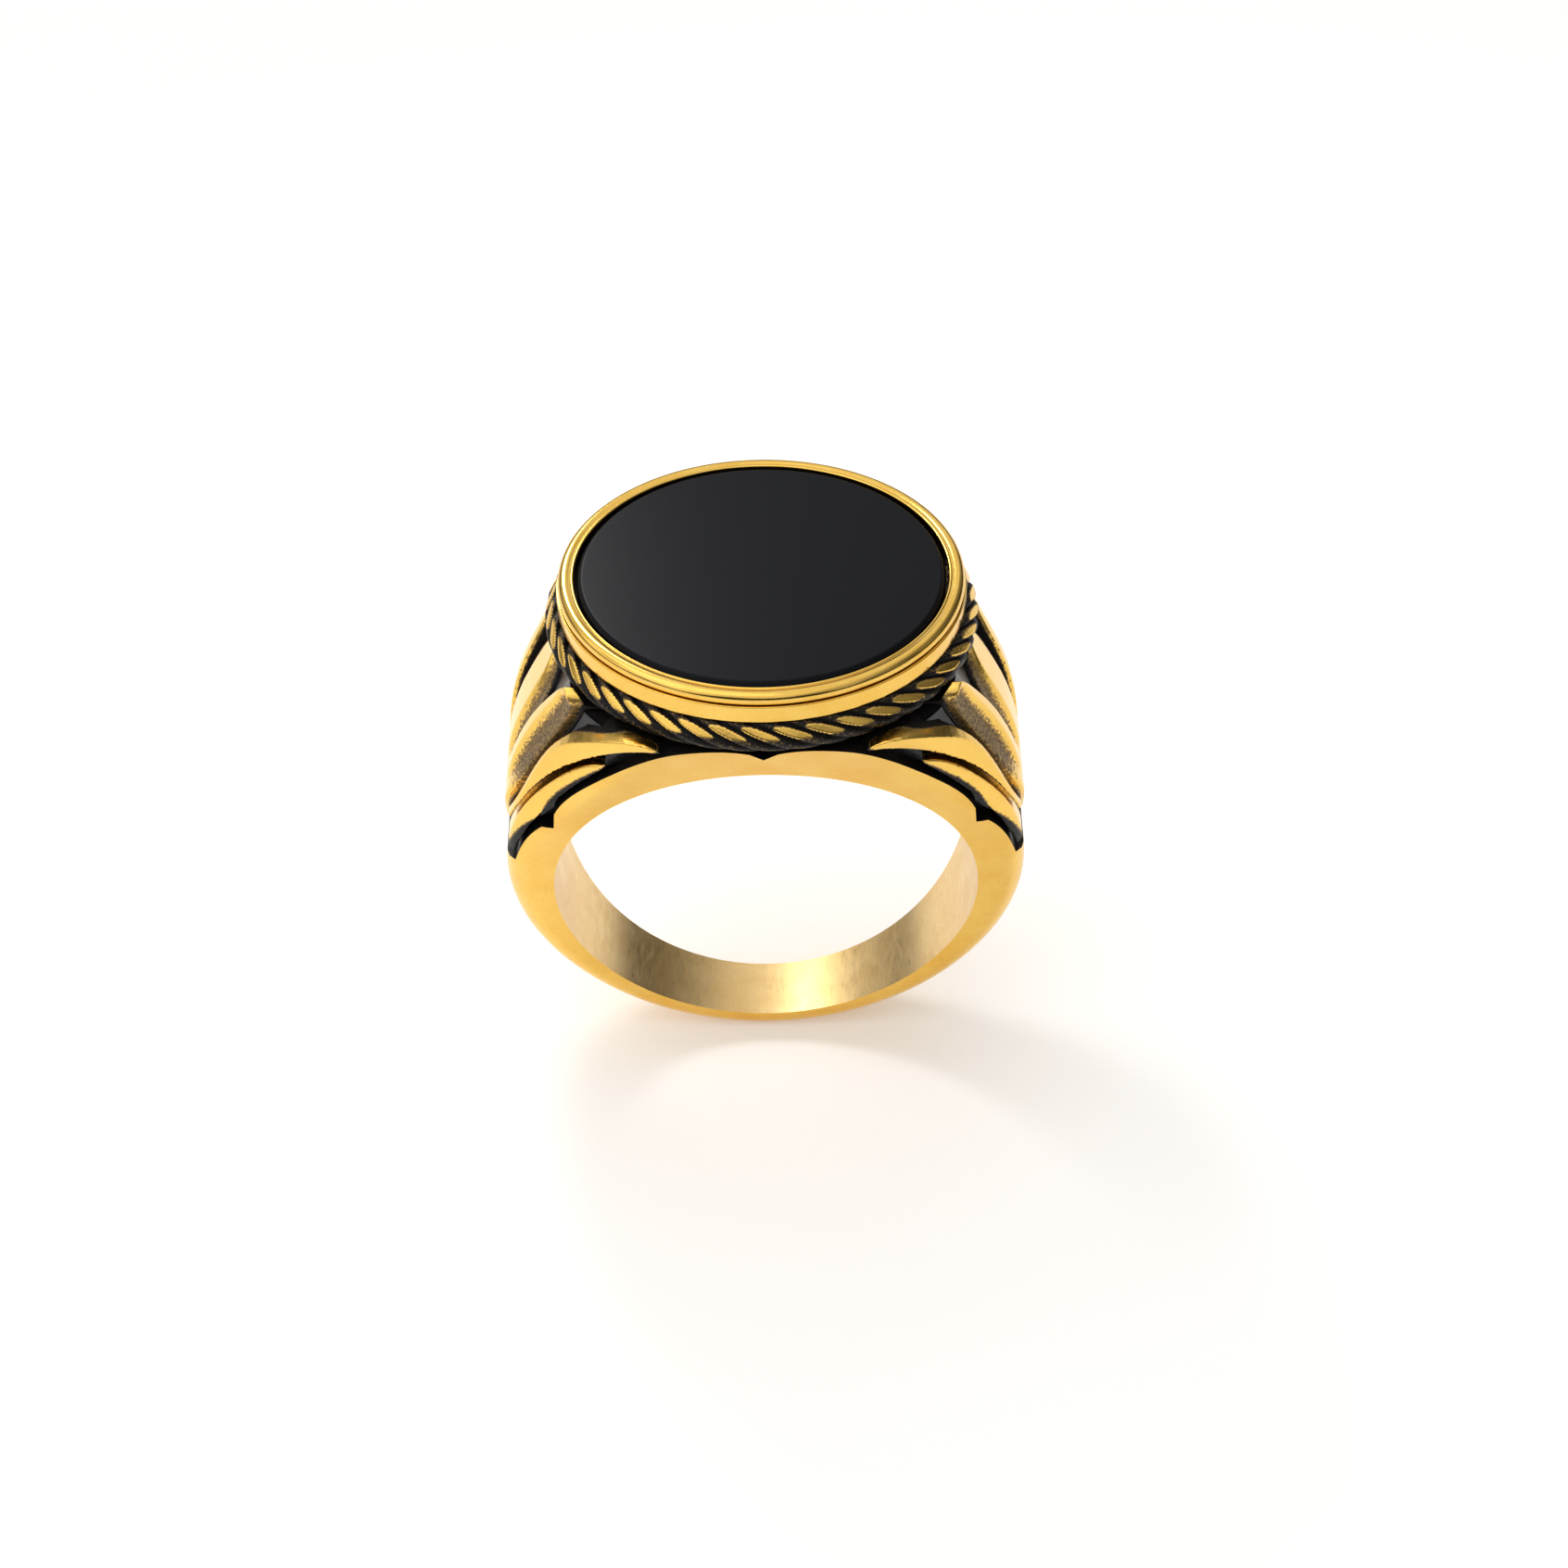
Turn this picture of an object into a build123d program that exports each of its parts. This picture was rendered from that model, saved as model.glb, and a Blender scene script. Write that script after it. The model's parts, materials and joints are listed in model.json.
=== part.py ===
"""Signet ring: a flared shank with carved shoulders, a twisted rope wire, a bezel cup and a flat stone.

Millimetres. The origin is the centre of the finger hole, Y runs along the hole, +Z points to the stone.
"""
from build123d import *
import os
from math import cos, radians, sin

# ---- driving dimensions -------------------------------------------------------------------------
BORE_RADIUS = 10.0            # finger hole
BASE_WALL = 1.1               # shank thickness opposite the stone
SIDE_WALL = 2.13              # shank thickness at the sides of the finger
HEAD_WALL = 2.4               # finger hole to the ledge that carries the rope

SIDE_HALF_WIDTH = 4.08        # half the shank's width at the height of the hole's centre
SIDE_FLARE = 0.314            # growth of that half width per mm of height
SIDE_FLARE_CURVE = 0.009      # and per square mm
BAND_EDGE_ROUND = 1.05

LEAF_RELIEF = 0.75            # depth of the carved ground below the leaves
RAIL_THICKNESS = 1.0          # rim along each side face
LEAF_TOP_RISE = 0.8           # leaf tips above the rope's ledge
GROUND_DROP = 0.3             # carved ground below the ledge, at the shoulder's top
LEDGE_RADIUS = 8.1
LEDGE_ROOT = 0.2              # how far the ledge's disc reaches down into the ground
ENAMEL_THICKNESS = 0.12

STONE_RADIUS = 8.43
STONE_THICKNESS = 1.35
STONE_EDGE = 0.08             # polished chamfer round the stone
STONE_GAP = 0.17              # open line between stone and bezel
CEMENT_THICKNESS = 0.1

BEZEL_WALL = 0.79
BEZEL_BAND = 0.85             # plain upright part of the bezel
BEZEL_STEP = 0.1              # fine step between that band and the bead

ROPE_RADIUS = 9.2             # rope's centre line
ROPE_HALF = 0.75              # half of the rope's overall thickness
ROPE_CLEARANCE = 0.02

# ---- worked out from them -----------------------------------------------------------------------
LEDGE_Z = BORE_RADIUS + HEAD_WALL
TOP_Z = LEDGE_Z + LEAF_TOP_RISE
FOOT_Z = 0.124 * TOP_Z         # the shoulders start inside the band, which ends a little higher
BAND_Z = 0.181 * TOP_Z
SIDE_X = BORE_RADIUS + SIDE_WALL
BASE_Z = BORE_RADIUS + BASE_WALL
BAND_CENTRE_Z = (SIDE_X**2 - BASE_Z**2) / (2 * BASE_Z)
BAND_RADIUS = BASE_Z + BAND_CENTRE_Z
REACH = 2 * BORE_RADIUS       # longer than any cut has to be

ROPE_Z = LEDGE_Z + ROPE_CLEARANCE + ROPE_HALF
ROPE_GROOVE = ROPE_HALF + ROPE_CLEARANCE
CUP_RADIUS = ROPE_RADIUS - ROPE_GROOVE

SEAT_RADIUS = STONE_RADIUS + STONE_GAP
BEZEL_RADIUS = SEAT_RADIUS + BEZEL_WALL
BEZEL_Z = ROPE_Z + ROPE_GROOVE
SEAT_Z = BEZEL_Z
STONE_Z = SEAT_Z + CEMENT_THICKNESS
STONE_TOP_Z = STONE_Z + STONE_THICKNESS

# Horizontal sections of the shoulders: share of the height, how far the side draws in, corner radius.
SHOULDER_SECTIONS = [
    (FOOT_Z / TOP_Z, 0.0, 1.0), (0.267, 0.0, 1.4), (0.4, 0.05, 2.2), (0.61, 0.7, 3.8),
    (0.82, 2.1, 4.9), (1.0, 3.05, 5.6)]

# Rim of the side face, right of the middle: angle from +Z, height over the finger hole.
RAIL_NOTCH = (0, 1.4)
RAIL_EDGE = [(3, 1.95), (7.5, 2.3), (14, 2.56), (20, 2.66), (27, 2.45), (34, 2.17), (42, 1.98), (49, 1.88),
             (56, 1.64)]
RAIL_SPUR = (61, 1.12)
RAIL_FOOT = [(62, 1.64), (67, 1.84), (73, 1.91), (80, 1.95)]

# Leaves seen from the front: the two edges of each, from the tip to the foot.
LOW_LEAF = ([(33.7, 2.73), (37, 2.5), (40.8, 2.36), (50.2, 2.15), (60.3, 2.08), (68.7, 2.1), (75.5, 2.1)],
            [(33.7, 2.73), (37, 2.95), (41, 2.97), (49.5, 2.87), (57.5, 2.81), (66, 2.68), (75.5, 2.4)])
HIGH_LEAF = ([(20.5, 2.88), (24, 3.22), (29, 3.34), (37.2, 3.28), (46.1, 3.18), (57, 3.02), (67, 2.84)],
             [(20.5, 2.88), (22, 3.5), (25, 3.9), (30, 4.08), (36, 4.1), (41, 4.02), (45.3, 3.84),
              (50.2, 3.56), (57.5, 3.2), (67, 2.95)])
# Leaves seen from the side: distance from the middle of the ring, share of the height.
OUTER_LEAF = ([(5.3, 0.985), (4.5, 0.93), (3.7, 0.85), (2.95, 0.73), (2.7, 0.6), (2.35, 0.45), (1.75, 0.25)],
              [(5.3, 0.985), (5.95, 0.95), (5.85, 0.87), (5.25, 0.72), (4.95, 0.63), (4.5, 0.5), (3.6, 0.38),
               (2.4, 0.25)])
CENTRE_LEAF = [(0.0, 0.9), (1.1, 0.855), (2.2, 0.785), (2.45, 0.7), (2.2, 0.58), (1.9, 0.45), (1.2, 0.25)]
# Boundary between the front leaves and the side leaves, seen from the side.
FRONT_ZONE = [(7.0, 1.06), (6.65, 0.95), (6.05, 0.83), (5.55, 0.73), (5.25, 0.63), (4.85, 0.5), (4.0, 0.38),
              (3.0, 0.25), (2.2, 0.15)]


def half_width(z):
    """Half the width of the shank, between its side faces, at height z."""
    return SIDE_HALF_WIDTH + SIDE_FLARE * z + SIDE_FLARE_CURVE * z * z


def around(angle, height):
    """Point in the XZ plane, at an angle from +Z and a height over the finger hole."""
    reach = BORE_RADIUS + height
    return (reach * sin(radians(angle)), reach * cos(radians(angle)))


def flared_block(inset):
    """Space between the two side faces, drawn in by inset on each side."""
    low, high = -BASE_Z - 1, TOP_Z + 1
    middle = (low + high) / 2
    slope = SIDE_FLARE + 2 * SIDE_FLARE_CURVE * low
    bottom, top = half_width(low) - inset, half_width(high) - inset
    bend = bottom + slope * (middle - low)
    with BuildPart() as block:
        with BuildSketch(Plane.YZ):
            with BuildLine():
                Bezier((bottom, low), (bend, middle), (top, high))
                Line((top, high), (-top, high))
                Bezier((-top, high), (-bend, middle), (-bottom, low))
                Line((-bottom, low), (bottom, low))
            make_face()
        extrude(amount=REACH, both=True)
    return block.part


def shoulder_block(inset, drop):
    """Outer shape of head and shoulders, drawn in by inset at the sides and by drop at the top."""
    with BuildPart() as block:
        for share, draw_in, corner in SHOULDER_SECTIONS:
            z = share * TOP_Z
            with BuildSketch(Plane.XY.offset(z)):
                RectangleRounded(2 * (SIDE_X - draw_in - inset), 2 * (half_width(z) - inset), corner)
        loft()
        split(bisect_by=Plane.XY.offset(TOP_Z - drop), keep=Keep.BOTTOM)
        with BuildSketch(Plane.XZ):
            Circle(BORE_RADIUS)
        extrude(amount=REACH, both=True, mode=Mode.SUBTRACT)
    return block.part


def outline(edges, place):
    """Closed face between two edges that share a tip; place turns a listed pair into a point."""
    first = [place(*pair) for pair in edges[0]]
    second = [place(*pair) for pair in edges[1]]
    with BuildSketch() as face:
        with BuildLine():
            Spline(*first)
            Spline(*second)
            Line(first[-1], second[-1])
        make_face()
    return face.sketch


def seen_from_side(distance, share):
    """Point in the YZ plane, on the front half, at a share of the shoulder's height."""
    return (-distance, share * TOP_Z)


def finish(piece, name):
    """Label a finished piece and write it to its own file."""
    piece.part.label = name
    export_step(piece.part, f"parts/{name}.step")
    print(name, len(piece.part.solids()), round(piece.part.volume, 2))


os.makedirs("parts", exist_ok=True)
shoulders = shoulder_block(0, 0)
ground = shoulder_block(LEAF_RELIEF, LEAF_TOP_RISE + GROUND_DROP)
side_faces = flared_block(0)
inside_rails = flared_block(RAIL_THICKNESS)

# ---- shank: plain band, carved ground of the shoulders, two rails and the rope's ledge -------------
with BuildPart() as band:
    with BuildSketch(Plane.XZ):
        with Locations((0, BAND_CENTRE_Z)):
            Circle(BAND_RADIUS)
    extrude(amount=REACH, both=True)
    add(side_faces, mode=Mode.INTERSECT)
    split(bisect_by=Plane.XY.offset(BAND_Z), keep=Keep.BOTTOM)
    fillet(band.faces().filter_by(GeomType.CYLINDER).edges().filter_by(GeomType.BSPLINE), BAND_EDGE_ROUND)

with BuildPart() as rails:
    with BuildSketch(Plane.XZ):
        for side in (1, -1):
            edge = [around(side * angle, height) for angle, height in RAIL_EDGE]
            foot = [around(side * angle, height) for angle, height in RAIL_FOOT]
            notch = around(*RAIL_NOTCH)
            spur = around(side * RAIL_SPUR[0], RAIL_SPUR[1])
            with BuildLine():
                Polyline((0, 0), notch, edge[0])
                Spline(*edge)
                Polyline(edge[-1], spur, foot[0])
                Spline(*foot)
                Line(foot[-1], (0, 0))
            make_face()
    extrude(amount=REACH, both=True)
    add(shoulders, mode=Mode.INTERSECT)
    add(inside_rails, mode=Mode.SUBTRACT)

with BuildPart() as ledge:
    with BuildSketch(Plane.XY.offset(LEDGE_Z)):
        Circle(LEDGE_RADIUS)
    extrude(amount=-(GROUND_DROP + LEDGE_ROOT))

with BuildPart() as shank:
    add(ground)
    add(band.part)
    add(rails.part)
    add(ledge.part)
    with BuildSketch(Plane.XZ):
        Circle(BORE_RADIUS)
    extrude(amount=REACH, both=True, mode=Mode.SUBTRACT)
finish(shank, "shank")

# ---- leaves: three on each quarter of the shoulders, one in the middle of each side ------------------
with BuildPart() as rope_room:
    with BuildSketch(Plane.XY.offset(LEDGE_Z)):
        Circle(ROPE_RADIUS + ROPE_HALF + ROPE_CLEARANCE)
    extrude(amount=REACH)

zone_edge = [seen_from_side(distance, share) for distance, share in FRONT_ZONE]
with BuildPart() as front_zone:
    with BuildSketch(Plane.YZ):
        with BuildLine():
            Spline(*zone_edge)
            Polyline(zone_edge[-1], (-REACH, zone_edge[-1][1]), (-REACH, zone_edge[0][1]), zone_edge[0])
        make_face()
    extrude(amount=REACH)

low_outline = outline(LOW_LEAF, around)
high_outline = outline(HIGH_LEAF, around)
outer_outline = outline(OUTER_LEAF, seen_from_side)
centre_edge = [seen_from_side(distance, share) for distance, share in CENTRE_LEAF]

with BuildPart() as low_leaf:
    with BuildSketch(Plane.XZ):
        add(low_outline)
    extrude(amount=REACH)
    add(shoulders, mode=Mode.INTERSECT)
    add(front_zone.part, mode=Mode.INTERSECT)
    add(shank.part, mode=Mode.SUBTRACT)

with BuildPart() as high_leaf:
    with BuildSketch(Plane.XZ):
        add(high_outline)
    extrude(amount=REACH)
    add(shoulders, mode=Mode.INTERSECT)
    add(front_zone.part, mode=Mode.INTERSECT)
    add(shank.part, mode=Mode.SUBTRACT)
    add(rope_room.part, mode=Mode.SUBTRACT)

with BuildPart() as outer_leaf:
    with BuildSketch(Plane.YZ):
        add(outer_outline)
    extrude(amount=REACH)
    add(shoulders, mode=Mode.INTERSECT)
    add(shank.part, mode=Mode.SUBTRACT)
    add(rope_room.part, mode=Mode.SUBTRACT)

with BuildPart() as centre_leaf:
    with BuildSketch(Plane.YZ):
        with BuildLine():
            Spline(*centre_edge)
            Spline(*[(-y, z) for y, z in centre_edge])
            Line(centre_edge[-1], (-centre_edge[-1][0], centre_edge[-1][1]))
        make_face()
    extrude(amount=REACH)
    add(shoulders, mode=Mode.INTERSECT)
    add(shank.part, mode=Mode.SUBTRACT)
    add(rope_room.part, mode=Mode.SUBTRACT)

quarter_leaves = {"low_leaf": low_leaf, "high_leaf": high_leaf, "outer_leaf": outer_leaf}
placed_leaves = []
for side, across in (("right", None), ("left", Plane.YZ)):
    for leaf_name, leaf in quarter_leaves.items():
        for end, along in (("front", None), ("rear", Plane.XZ)):
            with BuildPart() as placed:
                add(leaf.part)
                for about in (across, along):
                    if about:
                        mirror(about=about, mode=Mode.REPLACE)
            finish(placed, f"{side}_{end}_{leaf_name}")
            placed_leaves.append(placed.part)
    with BuildPart() as placed:
        add(centre_leaf.part)
        if across:
            mirror(about=across, mode=Mode.REPLACE)
    finish(placed, f"{side}_centre_leaf")
    placed_leaves.append(placed.part)

# ---- black enamel on the carved ground, between the leaves ------------------------------------------
enamel_skin = shoulder_block(LEAF_RELIEF - ENAMEL_THICKNESS, LEAF_TOP_RISE + GROUND_DROP)
for side, keep in (("right", Keep.TOP), ("left", Keep.BOTTOM)):
    with BuildPart() as enamel:
        add(enamel_skin)
        split(bisect_by=Plane.YZ, keep=keep)
        add(shank.part, mode=Mode.SUBTRACT)
        add(placed_leaves, mode=Mode.SUBTRACT)
    finish(enamel, f"{side}_enamel")

# ---- bezel cup: plug inside the rope, upright band, rounded bead, seat for the stone ---------------
groove_middle = (ROPE_RADIUS - ROPE_GROOVE * cos(radians(45)), ROPE_Z + ROPE_GROOVE * sin(radians(45)))
bead_foot = BEZEL_Z + BEZEL_BAND
bead_top = STONE_TOP_Z - STONE_EDGE
with BuildPart() as bezel_cup:
    with BuildSketch(Plane.XZ):
        with BuildLine():
            Polyline((0, LEDGE_Z), (CUP_RADIUS, LEDGE_Z), (CUP_RADIUS, ROPE_Z))
            ThreePointArc((CUP_RADIUS, ROPE_Z), groove_middle, (ROPE_RADIUS, BEZEL_Z))
            Polyline((ROPE_RADIUS, BEZEL_Z), (BEZEL_RADIUS, BEZEL_Z), (BEZEL_RADIUS, bead_foot),
                     (BEZEL_RADIUS - BEZEL_STEP, bead_foot))
            ThreePointArc((BEZEL_RADIUS - BEZEL_STEP, bead_foot),
                          (BEZEL_RADIUS - BEZEL_WALL / 3, (bead_foot + 2 * bead_top) / 3),
                          (SEAT_RADIUS, bead_top))
            Polyline((SEAT_RADIUS, bead_top), (SEAT_RADIUS, SEAT_Z), (0, SEAT_Z), (0, LEDGE_Z))
        make_face()
    revolve(axis=Axis.Z)
finish(bezel_cup, "bezel_cup")

# ---- stone and the cement under it ----------------------------------------------------------------
with BuildPart() as stone_cement:
    with BuildSketch(Plane.XY.offset(SEAT_Z)):
        Circle(STONE_RADIUS)
    extrude(amount=CEMENT_THICKNESS)
finish(stone_cement, "stone_cement")

with BuildPart() as stone:
    with BuildSketch(Plane.XY.offset(STONE_Z)):
        Circle(STONE_RADIUS)
    extrude(amount=STONE_THICKNESS)
    chamfer(stone.faces().sort_by(Axis.Z)[-1].edges(), STONE_EDGE)
finish(stone, "stone")

# ---- rope wire round the plug of the cup -----------------------------------------------------------
with BuildPart() as rope_wire:
    with BuildSketch(Plane.XZ):
        with Locations((ROPE_RADIUS, ROPE_Z)):
            Circle(ROPE_HALF)
    revolve(axis=Axis.Z)
finish(rope_wire, "rope_wire")
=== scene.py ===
import json
import math

import bpy
import numpy as np
from mathutils import Matrix, Vector
from mathutils.bvhtree import BVHTree


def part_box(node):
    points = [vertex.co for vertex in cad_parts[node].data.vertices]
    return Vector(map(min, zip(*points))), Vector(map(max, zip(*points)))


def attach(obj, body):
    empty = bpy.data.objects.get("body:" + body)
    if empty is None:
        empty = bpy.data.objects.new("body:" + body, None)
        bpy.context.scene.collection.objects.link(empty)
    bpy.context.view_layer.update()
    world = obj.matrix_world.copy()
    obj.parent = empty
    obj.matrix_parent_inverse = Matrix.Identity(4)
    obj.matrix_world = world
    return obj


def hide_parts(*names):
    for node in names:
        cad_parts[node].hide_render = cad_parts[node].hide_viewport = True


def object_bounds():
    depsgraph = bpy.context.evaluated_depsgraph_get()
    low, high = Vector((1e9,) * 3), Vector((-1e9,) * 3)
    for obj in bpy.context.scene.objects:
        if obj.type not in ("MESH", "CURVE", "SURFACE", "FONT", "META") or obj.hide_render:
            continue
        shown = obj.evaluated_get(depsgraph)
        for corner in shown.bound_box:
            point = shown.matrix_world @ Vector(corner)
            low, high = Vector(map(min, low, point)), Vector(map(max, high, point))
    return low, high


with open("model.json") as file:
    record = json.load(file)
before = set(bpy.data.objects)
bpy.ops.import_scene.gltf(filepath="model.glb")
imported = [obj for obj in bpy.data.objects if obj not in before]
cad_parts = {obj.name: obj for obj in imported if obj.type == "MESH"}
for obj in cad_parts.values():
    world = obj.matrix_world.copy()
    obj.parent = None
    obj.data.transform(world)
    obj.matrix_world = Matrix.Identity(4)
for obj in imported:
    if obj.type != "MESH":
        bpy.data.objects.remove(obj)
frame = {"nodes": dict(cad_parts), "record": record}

MM = 0.001
CAD_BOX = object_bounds()

# ---------------------------------------------------------------- sizes in mm, read from the frame
STONE_LOW, STONE_HIGH = (np.array(c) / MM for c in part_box("stone"))
ROPE_LOW, ROPE_HIGH = (np.array(c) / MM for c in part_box("rope_wire"))
CUP_LOW, CUP_HIGH = (np.array(c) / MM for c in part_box("bezel_cup"))
BORE_RADIUS = frame["record"]["mounts"][0]["dims"]["r_mm"]

STONE_RADIUS = STONE_HIGH[0]
ROPE_HALF = (ROPE_HIGH[2] - ROPE_LOW[2]) / 2
ROPE_RADIUS = ROPE_HIGH[0] - ROPE_HALF
ROPE_Z = (ROPE_HIGH[2] + ROPE_LOW[2]) / 2
BEZEL_RADIUS = CUP_HIGH[0]
ROPE_CLEARANCE = 0.02         # between the rope and the cup
BEZEL_FOOT = ROPE_HIGH[2] + ROPE_CLEARANCE
STONE_GAP = 0.17              # open line between stone and bezel
SEAT_RADIUS = STONE_RADIUS + STONE_GAP

ROPE_STRANDS = 6
ROPE_TURNS = 7
ROPE_NOTCH = 0.46             # depth of the grooves between strands, as a share of the rope's half thickness
ROPE_FLAT = 0.683             # distance of the polished flats from the rope's centre line
ROPE_FLAT_TILT = math.radians(36)     # direction the flats face, up from level
STONE_EDGE = 0.24             # worn edge round the stone's top
STONE_CROWN = 0.004           # rise of the stone's middle
BEAD_RADIUS = 0.34
BAND_HEIGHT = 0.86            # plain upright part of the bezel
SCOOP_DEPTH = 0.34            # hollow beside the crest of the side leaves
LEAF_VOXEL = 0.075
FLOOR_GLOW = 0.25

# ---------------------------------------------------------------- camera
CAMERA_AZIMUTH = math.radians(-0.156)
CAMERA_ELEVATION = math.radians(38.767)
CAMERA_ROLL = math.radians(-0.789)
CAMERA_DISTANCE = 200.0 * MM
CAMERA_OFFSET = (-0.882 * MM, -2.311 * MM)
LENS_MM = 95.74
SENSOR_MM = 36.0


def add_camera():
    """Camera at the photograph's angle, looking past the middle of the finger hole."""
    sa, ca = math.sin(CAMERA_AZIMUTH), math.cos(CAMERA_AZIMUTH)
    se, ce = math.sin(CAMERA_ELEVATION), math.cos(CAMERA_ELEVATION)
    back = Vector((sa * ce, -ca * ce, se))
    level = Vector((ca, sa, 0))
    upright = back.cross(level)
    right = math.cos(CAMERA_ROLL) * level + math.sin(CAMERA_ROLL) * upright
    up = -math.sin(CAMERA_ROLL) * level + math.cos(CAMERA_ROLL) * upright
    place = back * CAMERA_DISTANCE - right * CAMERA_OFFSET[0] - up * CAMERA_OFFSET[1]
    data = bpy.data.cameras.new("camera")
    data.lens = LENS_MM
    data.sensor_width = SENSOR_MM
    data.clip_start = 0.01
    data.clip_end = 10.0
    camera = bpy.data.objects.new("camera", data)
    turn = Matrix((right, up, back)).transposed().to_4x4()
    camera.matrix_world = Matrix.Translation(place) @ turn
    bpy.context.scene.collection.objects.link(camera)
    bpy.context.scene.camera = camera


# ---------------------------------------------------------------- node materials
def new_material(name):
    material = bpy.data.materials.new(name)
    material.use_nodes = True
    tree = material.node_tree
    shader = next(n for n in tree.nodes if n.type == "BSDF_PRINCIPLED")
    return material, tree, shader


def add_node(tree, kind, inputs=(), **settings):
    """Add a node; an input given as a socket is linked, anything else is its value."""
    made = tree.nodes.new(kind)
    for key, value in settings.items():
        setattr(made, key, value)
    for key, value in dict(inputs).items():
        if isinstance(value, bpy.types.NodeSocket):
            tree.links.new(value, made.inputs[key])
        else:
            made.inputs[key].default_value = value
    return made


def noise(tree, size_mm, detail=3.0, stretch=(1, 1, 1)):
    """Noise with features of about this size; stretch makes them longer along an axis."""
    coords = add_node(tree, "ShaderNodeTexCoord")
    scale = tuple(1 / (size_mm * MM * s) for s in stretch)
    mapping = add_node(tree, "ShaderNodeMapping", {"Vector": coords.outputs["Object"], "Scale": scale})
    made = add_node(tree, "ShaderNodeTexNoise", {"Vector": mapping.outputs["Vector"], "Scale": 1.0,
                                                 "Detail": detail, "Roughness": 0.6})
    return made.outputs["Fac"]


def remap(tree, value, low, high, to_low, to_high):
    made = add_node(tree, "ShaderNodeMapRange", {"Value": value, "From Min": low, "From Max": high,
                                                 "To Min": to_low, "To Max": to_high})
    return made.outputs["Result"]


def mix_colour(tree, factor, first, second):
    made = add_node(tree, "ShaderNodeMixRGB", {"Fac": factor, "Color1": first, "Color2": second})
    return made.outputs["Color"]


def set_bump(tree, shader, height, strength, depth_mm):
    bump = add_node(tree, "ShaderNodeBump", {"Height": height, "Strength": strength,
                                             "Distance": depth_mm * MM})
    tree.links.new(bump.outputs["Normal"], shader.inputs["Normal"])


GOLD_LIGHT = (0.93, 0.615, 0.150, 1)
GOLD_DEEP = (0.87, 0.525, 0.098, 1)
PATINA = (0.007, 0.0056, 0.005, 1)
BRONZE = (0.42, 0.27, 0.105, 1)


def gold_material(name, roughness, ripple, light=GOLD_LIGHT, deep=GOLD_DEEP, stretch=(1, 1, 1)):
    """Polished gold: cloudy colour, fine polishing marks in roughness and bump."""
    material, tree, shader = new_material(name)
    cloud = mix_colour(tree, remap(tree, noise(tree, 2.2), 0.35, 0.65, 0, 1), deep, light)
    pitted = tuple(0.86 * c for c in deep[:3]) + (1,)
    grain = remap(tree, noise(tree, 0.10, 3.0), 0.35, 0.68, 0.45, 0.0)
    tree.links.new(mix_colour(tree, grain, cloud, pitted), shader.inputs["Base Color"])
    shader.inputs["Metallic"].default_value = 1.0
    marks = noise(tree, 0.16, 5.0, stretch)
    tree.links.new(remap(tree, marks, 0.3, 0.7, *roughness), shader.inputs["Roughness"])
    set_bump(tree, shader, marks, ripple, 0.012)
    return material


def carved_material():
    """Gold on the raised parts, bronze where the polish is partial (worn strand tops and the leaves' scooped
    slopes), black patina in the recesses.
    """
    material, tree, shader = new_material("carved_gold")
    polish = add_node(tree, "ShaderNodeAttribute", attribute_name="polish").outputs["Fac"]
    grain = noise(tree, 0.13, 5.0)
    blotch = noise(tree, 0.5, 3.0)
    speckled = add_node(tree, "ShaderNodeMath", {0: remap(tree, grain, 0.3, 0.7, -0.22, 0.22), 1: polish},
                        operation="ADD").outputs["Value"]
    golden = remap(tree, speckled, 0.62, 0.78, 0.0, 1.0)
    bronzed = remap(tree, speckled, 0.25, 0.66, 0.0, 1.0)
    base = mix_colour(tree, bronzed, PATINA, BRONZE)
    gold = mix_colour(tree, blotch, GOLD_DEEP, GOLD_LIGHT)
    tree.links.new(mix_colour(tree, golden, base, gold), shader.inputs["Base Color"])
    tree.links.new(remap(tree, bronzed, 0.0, 1.0, 0.1, 1.0), shader.inputs["Metallic"])
    shader.inputs["Specular IOR Level"].default_value = 0.22
    tree.links.new(remap(tree, golden, 0.0, 1.0, 0.46, 0.2), shader.inputs["Roughness"])
    set_bump(tree, shader, grain, 0.35, 0.02)
    return material


def black_material(name, colour, roughness, grain_mm, depth_mm, speck=None, gloss=0.5):
    material, tree, shader = new_material(name)
    shader.inputs["Specular IOR Level"].default_value = gloss
    grain = noise(tree, grain_mm, 4.0)
    tint = mix_colour(tree, grain, (*colour, 1), (*[c * 1.8 for c in colour], 1))
    if speck:
        dust = remap(tree, noise(tree, speck, 2.0), 0.74, 0.80, 0.0, 1.0)
        tint = mix_colour(tree, dust, tint, (0.10, 0.10, 0.105, 1))
    tree.links.new(tint, shader.inputs["Base Color"])
    tree.links.new(remap(tree, grain, 0.3, 0.7, *roughness), shader.inputs["Roughness"])
    set_bump(tree, shader, grain, 0.3, depth_mm)
    return material


GOLD = gold_material("gold", (0.15, 0.24), 0.10)
BAND_GOLD = gold_material("band_gold", (0.18, 0.30), 0.16, stretch=(8, 1, 8))
BORE_GOLD = gold_material("bore_gold", (0.26, 0.40), 0.20, (0.86, 0.63, 0.30, 1), (0.78, 0.53, 0.22, 1),
                          stretch=(1, 6, 1))
TURNED_GOLD = gold_material("turned_gold", (0.10, 0.19), 0.07)
CARVED = carved_material()
ENAMEL = black_material("enamel", (0.005, 0.005, 0.006), (0.14, 0.30), 0.5, 0.03, gloss=0.3)
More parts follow.
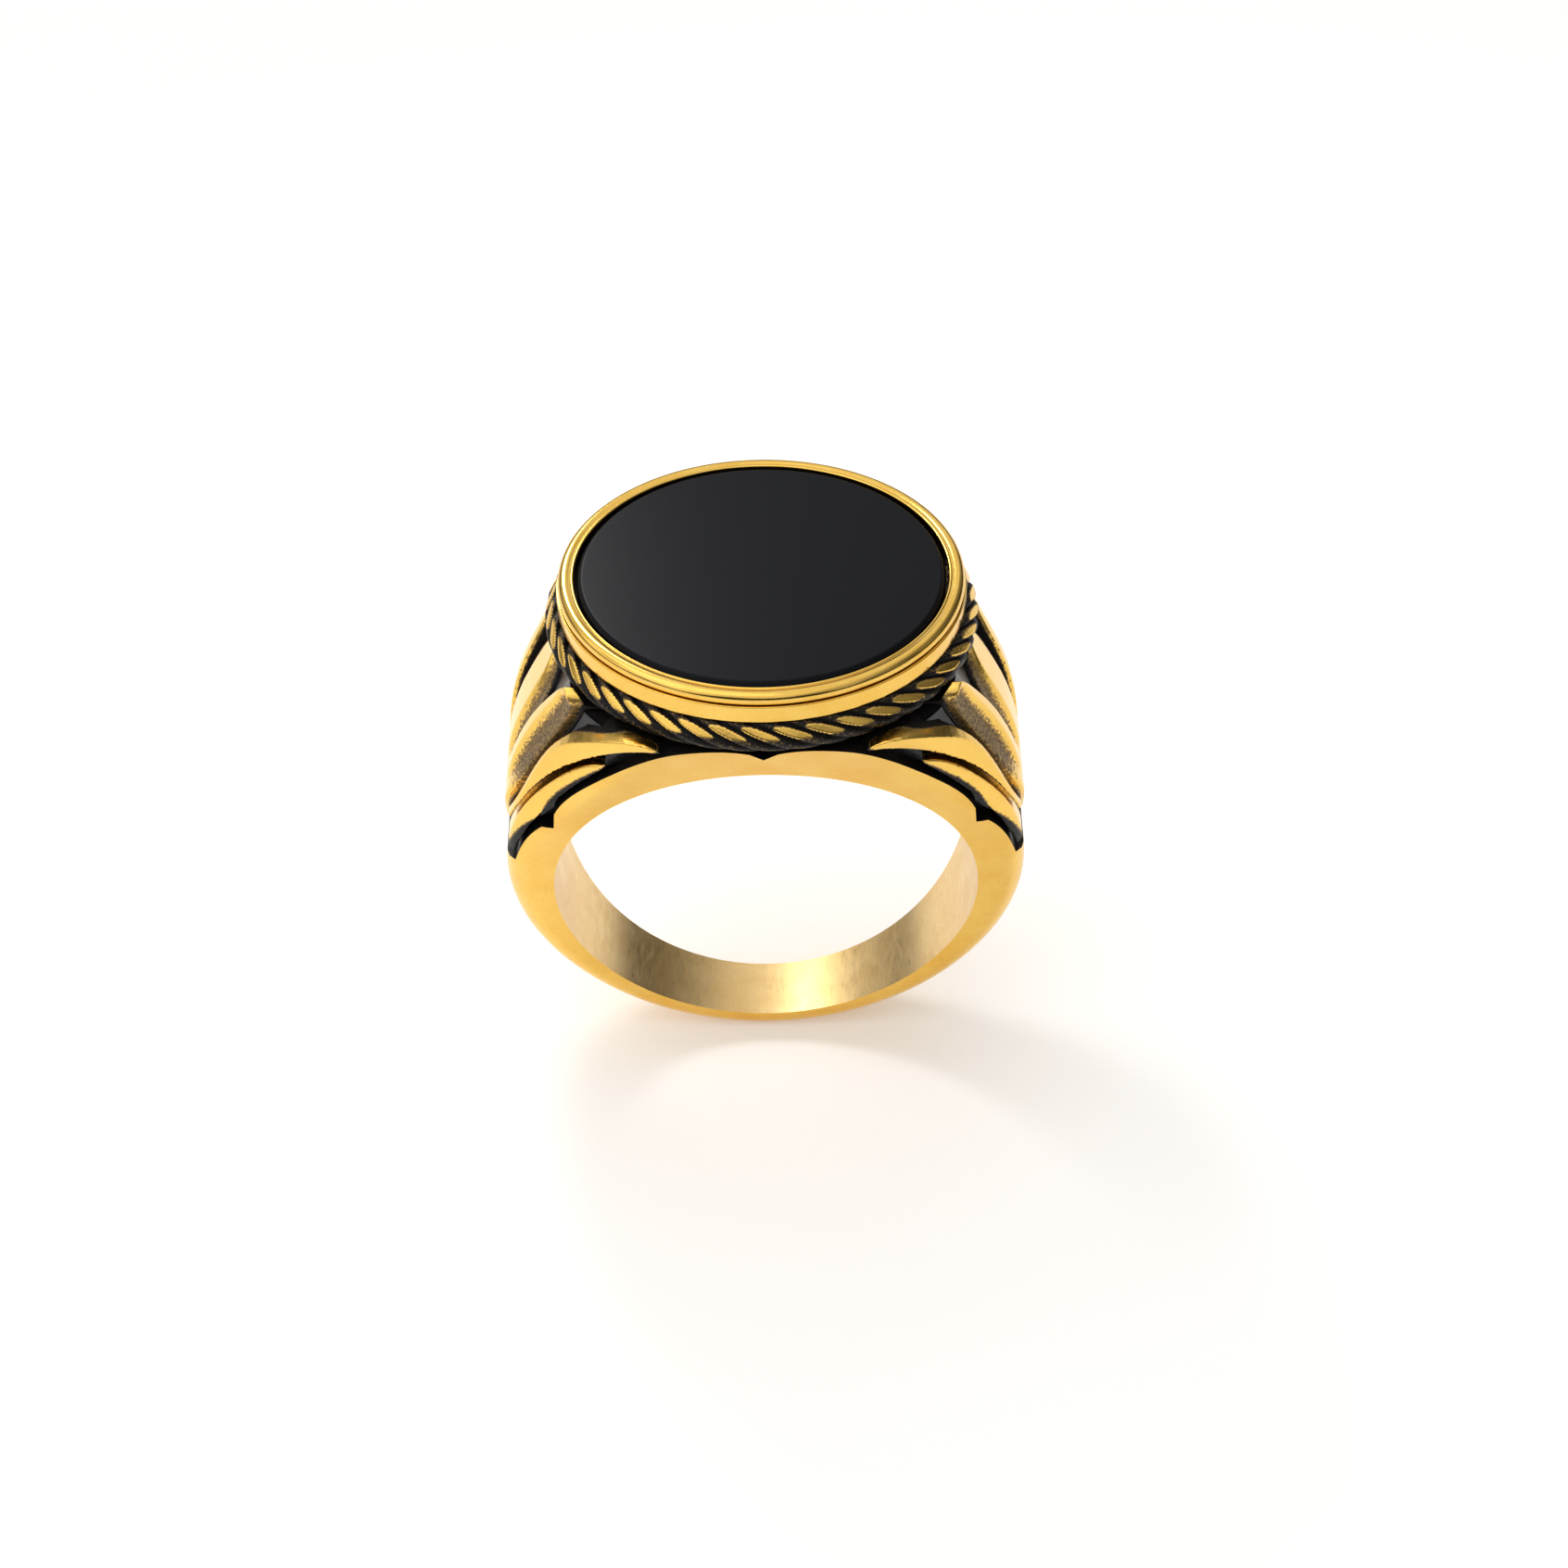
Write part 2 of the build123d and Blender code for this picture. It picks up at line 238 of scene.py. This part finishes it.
# Black for the patina in the shank's carved recesses. The bezel also uses it as painted shade in the seat
# round the stone, and as a painted dark reflection in its step line.
RECESS_PATINA_AND_PAINTED_SHADE = black_material("recess", (0.007, 0.006, 0.0055), (0.32, 0.55), 0.12, 0.02, gloss=0.25)
ONYX = black_material("onyx", (0.0038, 0.0043, 0.0058), (0.30, 0.38), 0.09, 0.0015, speck=0.055, gloss=0.07)
CEMENT = black_material("cement", (0.02, 0.018, 0.016), (0.5, 0.7), 0.1, 0.01)


# ---------------------------------------------------------------- mesh tools
def add_piece(name, points, faces, materials, replaced, face_material=None, polish=None, sharp=180):
    """Link a mesh given in mm as a piece of the ring."""
    mesh = bpy.data.meshes.new(name)
    mesh.from_pydata((np.asarray(points) * MM).tolist(), [], [list(map(int, f)) for f in faces])
    for material in materials:
        mesh.materials.append(material)
    if face_material is not None:
        mesh.polygons.foreach_set("material_index", np.asarray(face_material, dtype=np.int32))
    if polish is not None:
        layer = mesh.attributes.new("polish", "FLOAT", "POINT")
        layer.data.foreach_set("value", np.asarray(polish, dtype=np.float32))
    mesh.polygons.foreach_set("use_smooth", np.ones(len(mesh.polygons), dtype=bool))
    mesh.set_sharp_from_angle(angle=math.radians(sharp))
    mesh.update()
    piece = bpy.data.objects.new(name, mesh)
    bpy.context.scene.collection.objects.link(piece)
    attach(piece, "root")
    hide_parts(*replaced)
    return piece


def ring_faces(laps, rows):
    """Quads of a surface that closes on itself both ways; points are ordered lap by lap."""
    i, j = np.meshgrid(np.arange(laps), np.arange(rows), indexing="ij")
    following, above = (i + 1) % laps, (j + 1) % rows
    return np.stack([i * rows + j, following * rows + j, following * rows + above, i * rows + above],
                    axis=-1).reshape(-1, 4)


def revolve(profile, laps, wobble=0.0):
    """Points of a closed profile (radius, height) turned round Z, with a slight hand-made unevenness."""
    turn = np.linspace(0, 2 * math.pi, laps, endpoint=False)[:, None]
    radius, height = np.asarray(profile).T
    radius = radius * (1 + wobble * (np.sin(3 * turn + 1) + 0.6 * np.sin(7 * turn)) * (radius > 5))
    return np.stack([radius * np.cos(turn), radius * np.sin(turn), height + 0 * turn], axis=-1).reshape(-1, 3)


def arc(centre, radius, start, end, steps):
    angles = np.radians(np.linspace(start, end, steps))
    return [(centre[0] + radius * math.cos(a), centre[1] + radius * math.sin(a)) for a in angles]


def smoothstep(value, low, high):
    t = np.clip((value - low) / (high - low), 0, 1)
    return t * t * (3 - 2 * t)


# ---------------------------------------------------------------- rope wire
def add_rope():
    """Strands twisted round the cup, filed flat where they face outward and up."""
    laps, rows = ROPE_STRANDS * ROPE_TURNS * 24, 66
    turn = np.linspace(0, 2 * math.pi, laps, endpoint=False)[:, None]
    around = np.linspace(0, 2 * math.pi, rows, endpoint=False)[None, :]
    half_strand = math.pi / ROPE_STRANDS
    off = (around + ROPE_TURNS * turn + half_strand) % (2 * half_strand) - half_strand
    reach = ROPE_HALF * (1 - ROPE_NOTCH * (np.abs(off) / half_strand) ** 4)
    facing = np.cos(around - ROPE_FLAT_TILT)
    limit = np.where(facing > 0.3, ROPE_FLAT / np.maximum(facing, 0.3), 9.0)
    filed = reach - limit
    reach = np.minimum(reach, limit)
    radius = ROPE_RADIUS + reach * np.cos(around)
    height = ROPE_Z + reach * np.sin(around)
    points = np.stack([radius * np.cos(turn), radius * np.sin(turn), height], axis=-1)
    worn = 0.24 * smoothstep(reach, 0.62, ROPE_HALF)
    polish = np.where(filed > -0.03, smoothstep(filed, -0.02, 0.015), 0) * 1.2
    polish = np.maximum(polish, worn)
    add_piece("rope_strands", points.reshape(-1, 3), ring_faces(laps, rows), [CARVED], ["rope_wire"],
              polish=polish.reshape(-1))


# ---------------------------------------------------------------- bezel and stone
def add_bezel():
    """Turned cup: band, fine step, large bead, thin inner lip, wall and floor of the seat; the seat is
    painted black as shade and the step line as a dark reflection.
    """
    groove = ROPE_HALF + ROPE_CLEARANCE
    inner = ROPE_RADIUS - groove
    step = BEZEL_FOOT + BAND_HEIGHT
    top = CUP_HIGH[2]
    bead = (BEZEL_RADIUS - 0.41, top - 0.28)
    lip = (SEAT_RADIUS + 0.06, top - 0.03)
    profile = [(0.4, CUP_LOW[2]), (inner, CUP_LOW[2])]
    profile += arc((ROPE_RADIUS, ROPE_Z), groove, 180, 90, 14)
    profile += arc((BEZEL_RADIUS - 0.06, BEZEL_FOOT + 0.06), 0.06, -90, 0, 6)
    profile += [(BEZEL_RADIUS, z) for z in np.linspace(BEZEL_FOOT + 0.15, step - 0.15, 6)]
    profile += arc((BEZEL_RADIUS - 0.05, step - 0.05), 0.05, 0, 90, 6)
    profile += [(BEZEL_RADIUS - 0.16, step - 0.01), (BEZEL_RADIUS - 0.18, step + 0.03)]
    profile += arc(bead, BEAD_RADIUS, -38, 116, 28)
    profile += arc(lip, 0.08, 30, 180, 12)
    profile += [(SEAT_RADIUS, STONE_LOW[2]), (SEAT_RADIUS, BEZEL_FOOT), (0.4, BEZEL_FOOT)]
    laps = 300
    points = revolve(profile, laps, wobble=0.0004)
    # Painted shade: the seat wall and floor round the stone take the black material. So does the fine step
    # between band and bead, as a painted dark reflection.
    seat = [r < SEAT_RADIUS + 0.01 and z < top - 0.3 for r, z in profile]
    line = [r < BEZEL_RADIUS - 0.10 and abs(z - step) < 0.05 and r > inner + 0.5 for r, z in profile]
    depth = np.tile(np.logical_or(seat, line).astype(float), laps)
    faces = ring_faces(laps, len(profile))
    # dark: faces painted black as shade in the seat and as a dark reflection in the step line
    dark = depth[faces].min(axis=1) > 0.5
    add_piece("bezel", points, faces, [TURNED_GOLD, RECESS_PATINA_AND_PAINTED_SHADE], ["bezel_cup"],
              face_material=dark.astype(int), sharp=50)


def add_stone():
    """Flat stone with a soft edge; the top is very slightly crowned."""
    edge, crown = STONE_EDGE, STONE_CROWN
    low, high = STONE_LOW[2], STONE_HIGH[2]
    rise = [(r, high - crown * (r / STONE_RADIUS) ** 2)
            for r in np.linspace(0.02, STONE_RADIUS - 1.1 * edge, 20)]
    rim = [(STONE_RADIUS - edge * (1 - s), high - crown - edge * (0.15 * s + 0.75 * s * s))
           for s in np.linspace(0, 1, 8)]
    wall = [(STONE_RADIUS, z) for z in np.linspace(high - 0.32, low + edge, 5)]
    under = [(STONE_RADIUS - edge, low), (STONE_RADIUS / 2, low), (0.02, low)]
    profile = rise + rim + wall + under
    laps = 240
    points = revolve(profile, laps)
    faces = ring_faces(laps, len(profile))[:, ::-1]
    add_piece("stone_top", points, faces, [ONYX], ["stone"], sharp=60)


# ---------------------------------------------------------------- shank and leaves
def cad_surface(name):
    """Points in mm and triangles of a CAD node."""
    mesh = frame["nodes"][name].data
    points = np.empty(len(mesh.vertices) * 3)
    mesh.vertices.foreach_get("co", points)
    return points.reshape(-1, 3) / MM, [tuple(p.vertices) for p in mesh.polygons]


def softened(points, faces, voxel, rounds):
    """Remesh a closed surface evenly and round its edges; sizes in mm."""
    mesh = bpy.data.meshes.new("work")
    mesh.from_pydata(points.tolist(), [], faces)
    work = bpy.data.objects.new("work", mesh)
    bpy.context.scene.collection.objects.link(work)
    remesh = work.modifiers.new("remesh", "REMESH")
    remesh.mode = "VOXEL"
    remesh.voxel_size = voxel
    smooth = work.modifiers.new("smooth", "SMOOTH")
    smooth.factor = 0.5
    smooth.iterations = rounds
    result = bpy.data.meshes.new_from_object(work.evaluated_get(bpy.context.evaluated_depsgraph_get()))
    out = np.empty(len(result.vertices) * 3)
    result.vertices.foreach_get("co", out)
    out_faces = [tuple(p.vertices) for p in result.polygons]
    bpy.data.objects.remove(work)
    bpy.data.meshes.remove(mesh)
    bpy.data.meshes.remove(result)
    return out.reshape(-1, 3), out_faces


def face_normals(points, faces):
    corners = points[np.array([f[:3] for f in faces])]
    normal = np.cross(corners[:, 1] - corners[:, 0], corners[:, 2] - corners[:, 0])
    return normal / np.maximum(np.linalg.norm(normal, axis=1, keepdims=True), 1e-12), corners.mean(axis=1)


def add_shank():
    """The shank's own surface, with the bore, the band and the carved recess finished differently."""
    points, faces = cad_surface("shank")
    normal, middle = face_normals(points, faces)
    reach = np.hypot(middle[:, 0], middle[:, 2])
    band_top = min(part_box(n)[0][2] for n in frame["nodes"] if n.endswith("enamel")) / MM
    bore = reach < BORE_RADIUS + 0.03
    recess = (middle[:, 2] > band_top - 0.05) & (np.abs(normal[:, 1]) < 0.55) & ~bore
    band = (middle[:, 2] < band_top) & ~bore
    kind = np.select([bore, recess, band], [1, 2, 3], 0)
    add_piece("shank_body", points, faces, [GOLD, BORE_GOLD, RECESS_PATINA_AND_PAINTED_SHADE, BAND_GOLD], ["shank"],
              face_material=kind, sharp=32)


def share_across(points, slices=24):
    """Where each point lies between a side leaf's two edges at its own height, and up its length."""
    height = points[:, 2]
    up = (height - height.min()) / (height.max() - height.min())
    out = np.abs(points[:, 1])
    levels = np.linspace(0, 1, slices)
    near = [np.abs(up - level) < 1.2 / slices for level in levels]
    inner = np.interp(up, levels, [out[w].min() for w in near])
    outer = np.interp(up, levels, [out[w].max() for w in near])
    return (out - inner) / np.maximum(outer - inner, 1e-6), up


def add_leaves():
    """Leaves with rounded, polished crests; the outer and centre leaves fall away in a dark scoop."""
    shank_points, shank_faces = cad_surface("shank")
    shank_tree = BVHTree.FromPolygons(shank_points.tolist(), shank_faces)
    for name in sorted(n for n in frame["nodes"] if n.endswith("_leaf")):
        points, faces = softened(*cad_surface(name), voxel=LEAF_VOXEL, rounds=7)
        found = [shank_tree.find_nearest(Vector(p)) for p in points]
        height = np.array([f[3] for f in found])
        foot = np.array([tuple(f[0]) for f in found])
        polish = smoothstep(height, 0.40, 0.68)
        if name.endswith(("outer_leaf", "centre_leaf")):
            across, up = share_across(points)
            start = 0.34 if name.endswith("outer_leaf") else 0.42
            scoop = smoothstep(across, start, start + 0.25)
            scoop = scoop * smoothstep(up, 0.22, 0.5) * smoothstep(1.02 - up, 0, 0.1)
            sink = scoop * SCOOP_DEPTH * smoothstep(height, 0.2, 0.6)
            points = points + (foot - points) * (sink / np.maximum(height, 0.05))[:, None]
            # The scooped slopes get less polish, so they turn darker bronze.
            polish = np.where(height > 0.45, polish * (1 - 0.54 * scoop), polish)
        add_piece(name + "_carving", points, faces, [CARVED], [name], polish=polish)


# ---------------------------------------------------------------- floor and light
def add_floor():
    mesh = bpy.data.meshes.new("floor")
    half, level = 2.0, CAD_BOX[0][2]
    corners = [(-half, -half, level), (half, -half, level), (half, half, level), (-half, half, level)]
    mesh.from_pydata(corners, [], [(0, 1, 2, 3)])
    floor = bpy.data.objects.new("floor", mesh)
    bpy.context.scene.collection.objects.link(floor)
    material, tree, shader = new_material("floor")
    shader.inputs["Base Color"].default_value = (0.95, 0.945, 0.94, 1)
    shader.inputs["Roughness"].default_value = 0.8
    shader.inputs["Specular IOR Level"].default_value = 0.0
    shader.inputs["Emission Color"].default_value = (1, 0.99, 0.98, 1)
    shader.inputs["Emission Strength"].default_value = FLOOR_GLOW
    mesh.materials.append(material)


def add_light(name, place, target, size, power):
    data = bpy.data.lights.new(name, "AREA")
    data.shape = "RECTANGLE"
    data.size, data.size_y = size
    data.energy = power
    light = bpy.data.objects.new(name, data)
    light.location = place
    light.visible_camera = False
    light.rotation_euler = (Vector(target) - Vector(place)).to_track_quat("-Z", "Y").to_euler()
    bpy.context.scene.collection.objects.link(light)


def add_world():
    """White studio above, brighter low at the left, dim to the right, dark low in front, softly clouded."""
    world = bpy.data.worlds.new("studio")
    world.use_nodes = True
    tree = world.node_tree
    background = next(n for n in tree.nodes if n.type == "BACKGROUND")
    coords = add_node(tree, "ShaderNodeTexCoord").outputs["Generated"]
    axes = add_node(tree, "ShaderNodeSeparateXYZ", {"Vector": coords})
    x, y, z = (axes.outputs[k] for k in "XYZ")

    def times(a, b):
        return add_node(tree, "ShaderNodeMath", {0: a, 1: b}, operation="MULTIPLY").outputs["Value"]

    def plus(a, b):
        return add_node(tree, "ShaderNodeMath", {0: a, 1: b}, operation="ADD").outputs["Value"]

    above = remap(tree, z, 0.12, 0.36, 0.06, 0.95)
    dim_right = remap(tree, x, 0.30, 0.75, 1.0, 0.40)
    dim_back_right = remap(tree, plus(x, times(y, 0.6)), 0.55, 0.95, 1.0, 0.75)
    left = times(remap(tree, z, 0.02, 0.20, 0, 0.35), remap(tree, x, -0.35, -0.8, 0, 1))
    dark_front = times(remap(tree, y, -0.72, -0.84, 0, 0.92), remap(tree, z, 0.53, 0.45, 0, 1))
    pattern = {"Vector": coords, "Scale": 2.6, "Detail": 1.0}
    clouds = add_node(tree, "ShaderNodeTexNoise", pattern).outputs["Fac"]
    flags = plus(remap(tree, clouds, 0.44, 0.54, 0.42, 1.0), remap(tree, z, 0.55, 0.8, 0.0, 0.6))
    lit = times(plus(times(above, times(dim_right, dim_back_right)), left), remap(tree, flags, 0, 1, 0, 1))
    total = times(lit, remap(tree, dark_front, 0.0, 1.0, 1.0, 0.0))
    tree.links.new(total, background.inputs["Strength"])
    background.inputs["Color"].default_value = (1, 0.985, 0.965, 1)
    bpy.context.scene.world = world
    bpy.context.scene.view_settings.view_transform = "Standard"


add_camera()
add_rope()
add_bezel()
add_stone()
add_shank()
add_leaves()
for part in frame["record"]["subparts"]:
    black = {"black_enamel": ENAMEL, "cement": CEMENT}.get(part["material_slot"])
    if black:
        node = frame["nodes"][part["node"]]
        node.data.materials.clear()
        node.data.materials.append(black)
add_floor()
add_world()
add_light("key", (-0.12, -0.02, 0.30), (0, 0, 0), (0.30, 0.30), 0.14)
add_light("stone_glow", (-0.022, 0.047, 0.053), (-0.006, 0, 0.015), (0.018, 0.024), 0.016)
